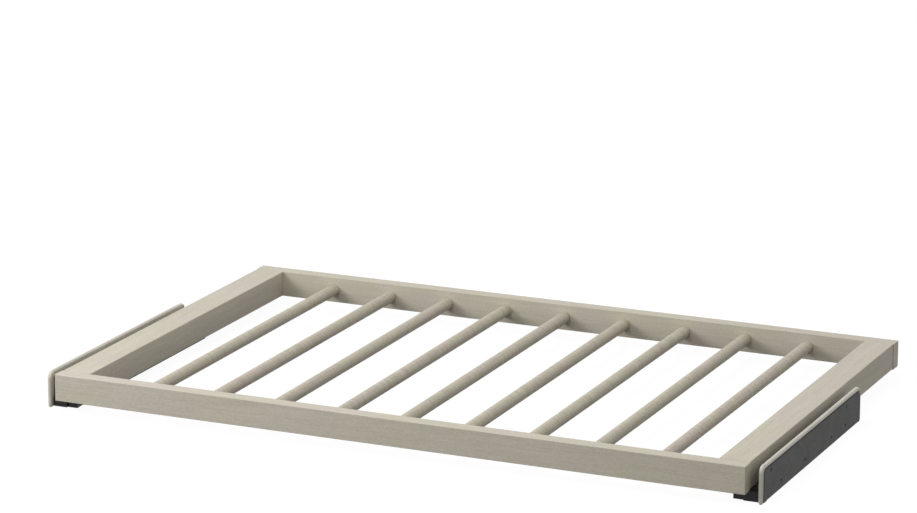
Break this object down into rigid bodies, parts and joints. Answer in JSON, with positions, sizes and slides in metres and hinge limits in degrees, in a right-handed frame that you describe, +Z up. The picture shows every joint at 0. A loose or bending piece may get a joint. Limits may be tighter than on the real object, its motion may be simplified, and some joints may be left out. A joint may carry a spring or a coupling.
{
  "type": "pull out trouser rack",
  "caption": "Wardrobe trouser rack: a shallow wooden frame with parallel round rods that pulls out on side-mounted ball bearing runners.",
  "frame": {"origin": "middle of the footprint on the lowest plane, which is the brackets' feet", "axes": "+X right along the front rail, +Y from the front rail to the back rail, +Z up; the rack pulls out along -Y"},
  "size_m": [0.9638, 0.584, 0.049],
  "materials": {
    "wood_foil": "beige-grey foil with a fine stained oak grain, matt",
    "rod_foil": "beige-grey foil wrapped round the rod, fine grain, matt",
    "cover_plastic": "beige moulded plastic, satin",
    "plate_steel": "dark grey powder coat",
    "runner_steel": "black electro-coated steel",
    "cage_steel": "bright steel strip and balls",
    "zinc_steel": "zinc plated steel",
    "black_plastic": "black moulded plastic",
    "beech_dowel": "plain beech"
  },
  "bodies": {
    "brackets": {"left_bracket_plate": "plate_steel", "left_bracket_cover": "cover_plastic", "left_cabinet_channel": "runner_steel", "left_rear_bumper": "black_plastic", "left_bracket_rivet_1": "zinc_steel", "left_bracket_rivet_2": "zinc_steel", "right_bracket_plate": "plate_steel", "right_bracket_cover": "cover_plastic", "right_cabinet_channel": "runner_steel", "right_rear_bumper": "black_plastic", "right_bracket_rivet_1": "zinc_steel", "right_bracket_rivet_2": "zinc_steel"},
    "rack": {"front_rail": "wood_foil", "back_rail": "wood_foil", "left_side_rail": "wood_foil", "right_side_rail": "wood_foil", "rod_1": "rod_foil", "rod_2": "rod_foil", "rod_3": "rod_foil", "rod_4": "rod_foil", "rod_5": "rod_foil", "rod_6": "rod_foil", "rod_7": "rod_foil", "rod_8": "rod_foil", "rod_9": "rod_foil", "left_front_dowel_outer": "beech_dowel", "left_front_dowel_inner": "beech_dowel", "left_back_dowel_outer": "beech_dowel", "left_back_dowel_inner": "beech_dowel", "left_rack_channel": "runner_steel", "left_rear_peg": "zinc_steel", "left_catch_body": "black_plastic", "left_lever_pin": "zinc_steel", "left_catch_screw_1": "zinc_steel", "left_catch_screw_2": "zinc_steel", "right_front_dowel_outer": "beech_dowel", "right_front_dowel_inner": "beech_dowel", "right_back_dowel_outer": "beech_dowel", "right_back_dowel_inner": "beech_dowel", "right_rack_channel": "runner_steel", "right_rear_peg": "zinc_steel", "right_catch_body": "black_plastic", "right_lever_pin": "zinc_steel", "right_catch_screw_1": "zinc_steel", "right_catch_screw_2": "zinc_steel"},
    "left_middle_member": {"left_middle_channel": "runner_steel"},
    "left_outer_balls": {"left_outer_ball_cage": "cage_steel"},
    "left_inner_balls": {"left_inner_ball_cage": "cage_steel"},
    "left_release_lever": {"left_catch_lever": "black_plastic"},
    "right_middle_member": {"right_middle_channel": "runner_steel"},
    "right_outer_balls": {"right_outer_ball_cage": "cage_steel"},
    "right_inner_balls": {"right_inner_ball_cage": "cage_steel"},
    "right_release_lever": {"right_catch_lever": "black_plastic"}
  },
  "joints": [
    {"name": "rack_slide", "type": "slide", "parent": "brackets", "child": "rack", "axis": [0, -1, 0], "range_m": [0, 0.35]},
    {"name": "left_middle_slide", "type": "slide", "parent": "brackets", "child": "left_middle_member", "axis": [0, -1, 0], "range_m": [0, 0.175]},
    {"name": "left_outer_ball_roll", "type": "slide", "parent": "brackets", "child": "left_outer_balls", "axis": [0, -1, 0], "range_m": [0, 0.0875]},
    {"name": "left_inner_ball_roll", "type": "slide", "parent": "brackets", "child": "left_inner_balls", "axis": [0, -1, 0], "range_m": [0, 0.2625]},
    {"name": "left_lever_press", "type": "hinge", "parent": "rack", "child": "left_release_lever", "pos_m": [-0.4634, -0.248, 0.0098], "axis": [0, 0, -1], "range_deg": [0, 8], "stiffness_Nm_per_rad": 0.1},
    {"name": "right_middle_slide", "type": "slide", "parent": "brackets", "child": "right_middle_member", "axis": [0, -1, 0], "range_m": [0, 0.175]},
    {"name": "right_outer_ball_roll", "type": "slide", "parent": "brackets", "child": "right_outer_balls", "axis": [0, -1, 0], "range_m": [0, 0.0875]},
    {"name": "right_inner_ball_roll", "type": "slide", "parent": "brackets", "child": "right_inner_balls", "axis": [0, -1, 0], "range_m": [0, 0.2625]},
    {"name": "right_lever_press", "type": "hinge", "parent": "rack", "child": "right_release_lever", "pos_m": [0.4634, -0.248, 0.0098], "axis": [0, 0, 1], "range_deg": [0, 8], "stiffness_Nm_per_rad": 0.1}
  ],
  "couplings": [
    {"joint": "left_middle_slide", "follows": "rack_slide", "ratio": 0.5},
    {"joint": "left_outer_ball_roll", "follows": "rack_slide", "ratio": 0.25},
    {"joint": "left_inner_ball_roll", "follows": "rack_slide", "ratio": 0.75},
    {"joint": "right_middle_slide", "follows": "rack_slide", "ratio": 0.5},
    {"joint": "right_outer_ball_roll", "follows": "rack_slide", "ratio": 0.25},
    {"joint": "right_inner_ball_roll", "follows": "rack_slide", "ratio": 0.75}
  ]
}
